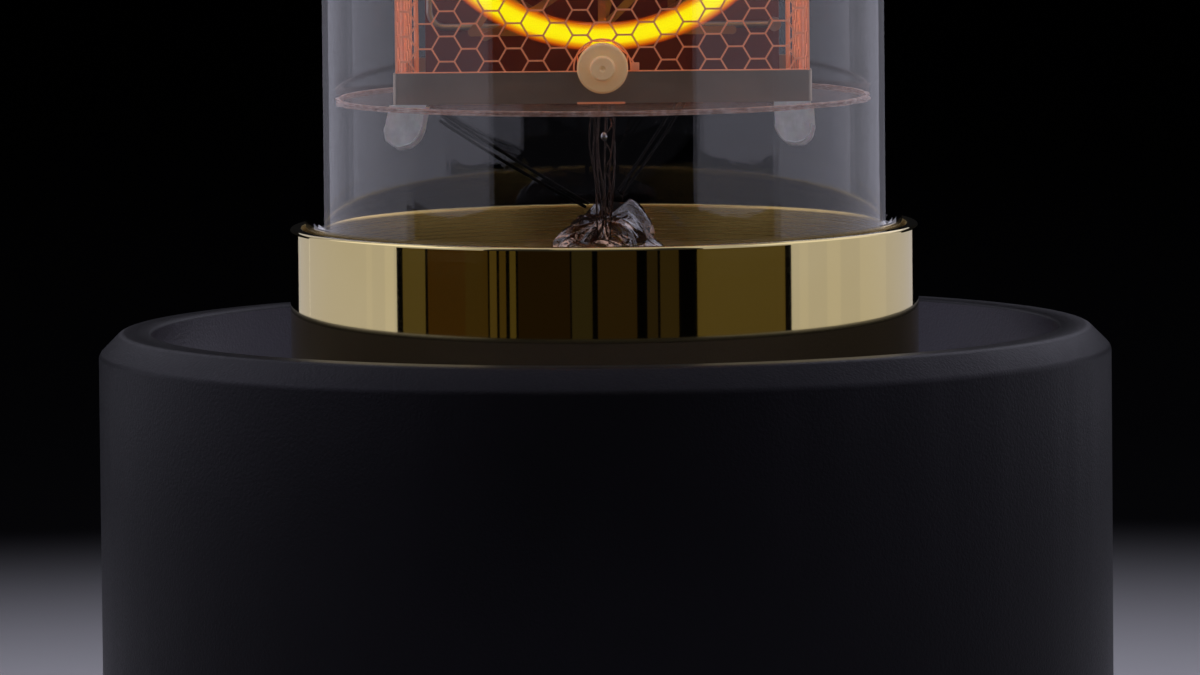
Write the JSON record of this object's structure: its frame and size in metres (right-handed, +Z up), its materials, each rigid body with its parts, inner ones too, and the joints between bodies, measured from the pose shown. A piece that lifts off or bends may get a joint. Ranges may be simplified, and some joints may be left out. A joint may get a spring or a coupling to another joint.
{
  "type": "nixie tube clock",
  "caption": "Neon digit tube with honeycomb anode and stacked digits, standing in a polished brass collar on a round black housing with a trough round the collar.",
  "frame": {"origin": "centre of the footprint, on the plane that the rubber feet stand on", "axes": "+Z up along the tube, the digit faces -Y, +X to the right of someone who reads it"},
  "size_m": [0.1012, 0.1012, 0.1622],
  "materials": {
    "housing_anodised": "fine bead-blasted black anodising, satin",
    "deck_anodised": "fine bead-blasted black anodising, satin",
    "cover_anodised": "black anodised plate",
    "plate_anodised": "black anodised plate",
    "key_aluminium": "turned and clear anodised",
    "polished_brass": "mirror polished, fine turning lines",
    "standoff_brass": "turned",
    "contact_brass": "gold flashed",
    "steel_screw": "zinc plated",
    "bright_steel": "bright stamped",
    "foot_rubber": "matte",
    "gasket_rubber": "matte",
    "circuit_board": "solder mask",
    "phenolic": "moulded phenolic",
    "black_plastic": "moulded",
    "chip_plastic": "moulded epoxy",
    "ferrite": "pressed ferrite",
    "capacitor_sleeve": "shrunk sleeve",
    "envelope_glass": "clear blown tubing",
    "stem_glass": "clear pressed glass",
    "lead_wire": "oxidised dumet and nickel wire",
    "mica": "split mica sheet, flaky edge",
    "mica_white": "doubled mica leaves",
    "copper_mesh": "etched copper sheet",
    "copper_plate": "oxidised copper sheet",
    "nickel_sheet": "rolled nickel, fine grain",
    "nickel_wire": "drawn nickel wire",
    "white_ceramic": "unglazed ivory ceramic",
    "lit_digit": "etched sheet inside its neon glow",
    "dark_digit": "etched sheet, unlit"
  },
  "bodies": {
    "housing": {"housing_sleeve": "housing_anodised", "deck_plate": "deck_anodised", "deck_screws": "steel_screw", "bottom_cover": "cover_anodised", "cover_screws": "steel_screw", "rubber_feet": "foot_rubber", "rear_plate": "plate_anodised", "plate_screws": "steel_screw", "brass_collar": "polished_brass", "collar_screws": "steel_screw", "collar_gasket": "gasket_rubber", "main_board": "circuit_board", "board_standoffs": "standoff_brass", "board_screws": "steel_screw", "carrier_board": "circuit_board", "tube_socket": "phenolic", "socket_contacts": "contact_brass", "board_header": "black_plastic", "usb_inlet": "bright_steel", "switch_bodies": "black_plastic", "boost_inductor": "ferrite", "reservoir_capacitor": "capacitor_sleeve", "controller_chip": "chip_plastic", "driver_chips": "chip_plastic", "clock_crystal": "bright_steel", "power_transistor": "chip_plastic", "cell_holder": "black_plastic", "coin_cell": "bright_steel"},
    "tube": {"tube_base": "phenolic", "contact_pins": "contact_brass", "glass_envelope": "envelope_glass", "glass_stem": "stem_glass", "exhaust_tube": "stem_glass", "stem_leads": "lead_wire", "support_wires": "lead_wire", "lower_mica": "mica", "mica_tabs": "mica_white", "anode_mesh": "copper_mesh", "anode_bands": "nickel_sheet", "corner_posts": "nickel_sheet", "back_plate": "copper_plate", "back_wire": "nickel_wire", "digit_rods": "nickel_wire", "ceramic_spacers": "white_ceramic", "front_bushes": "white_ceramic", "upper_mica": "mica", "getter_ring": "nickel_wire", "digit_0": "lit_digit", "digit_1": "dark_digit", "digit_2": "dark_digit", "digit_3": "dark_digit", "digit_4": "dark_digit", "digit_5": "dark_digit", "digit_6": "dark_digit", "digit_7": "dark_digit", "digit_8": "dark_digit", "digit_9": "dark_digit"},
    "set_key": {"set_button": "key_aluminium"},
    "up_key": {"up_button": "key_aluminium"},
    "down_key": {"down_button": "key_aluminium"}
  },
  "joints": [
    {"name": "tube_lift", "type": "slide", "parent": "housing", "child": "tube", "axis": [0, 0, 1], "range_m": [0, 0.03]},
    {"name": "set_press", "type": "slide", "parent": "housing", "child": "set_key", "axis": [0, -1, 0], "range_m": [0, 0.0008], "stiffness_N_per_m": 1500},
    {"name": "up_press", "type": "slide", "parent": "housing", "child": "up_key", "axis": [0, -1, 0], "range_m": [0, 0.0008], "stiffness_N_per_m": 1500},
    {"name": "down_press", "type": "slide", "parent": "housing", "child": "down_key", "axis": [0, -1, 0], "range_m": [0, 0.0008], "stiffness_N_per_m": 1500}
  ]
}
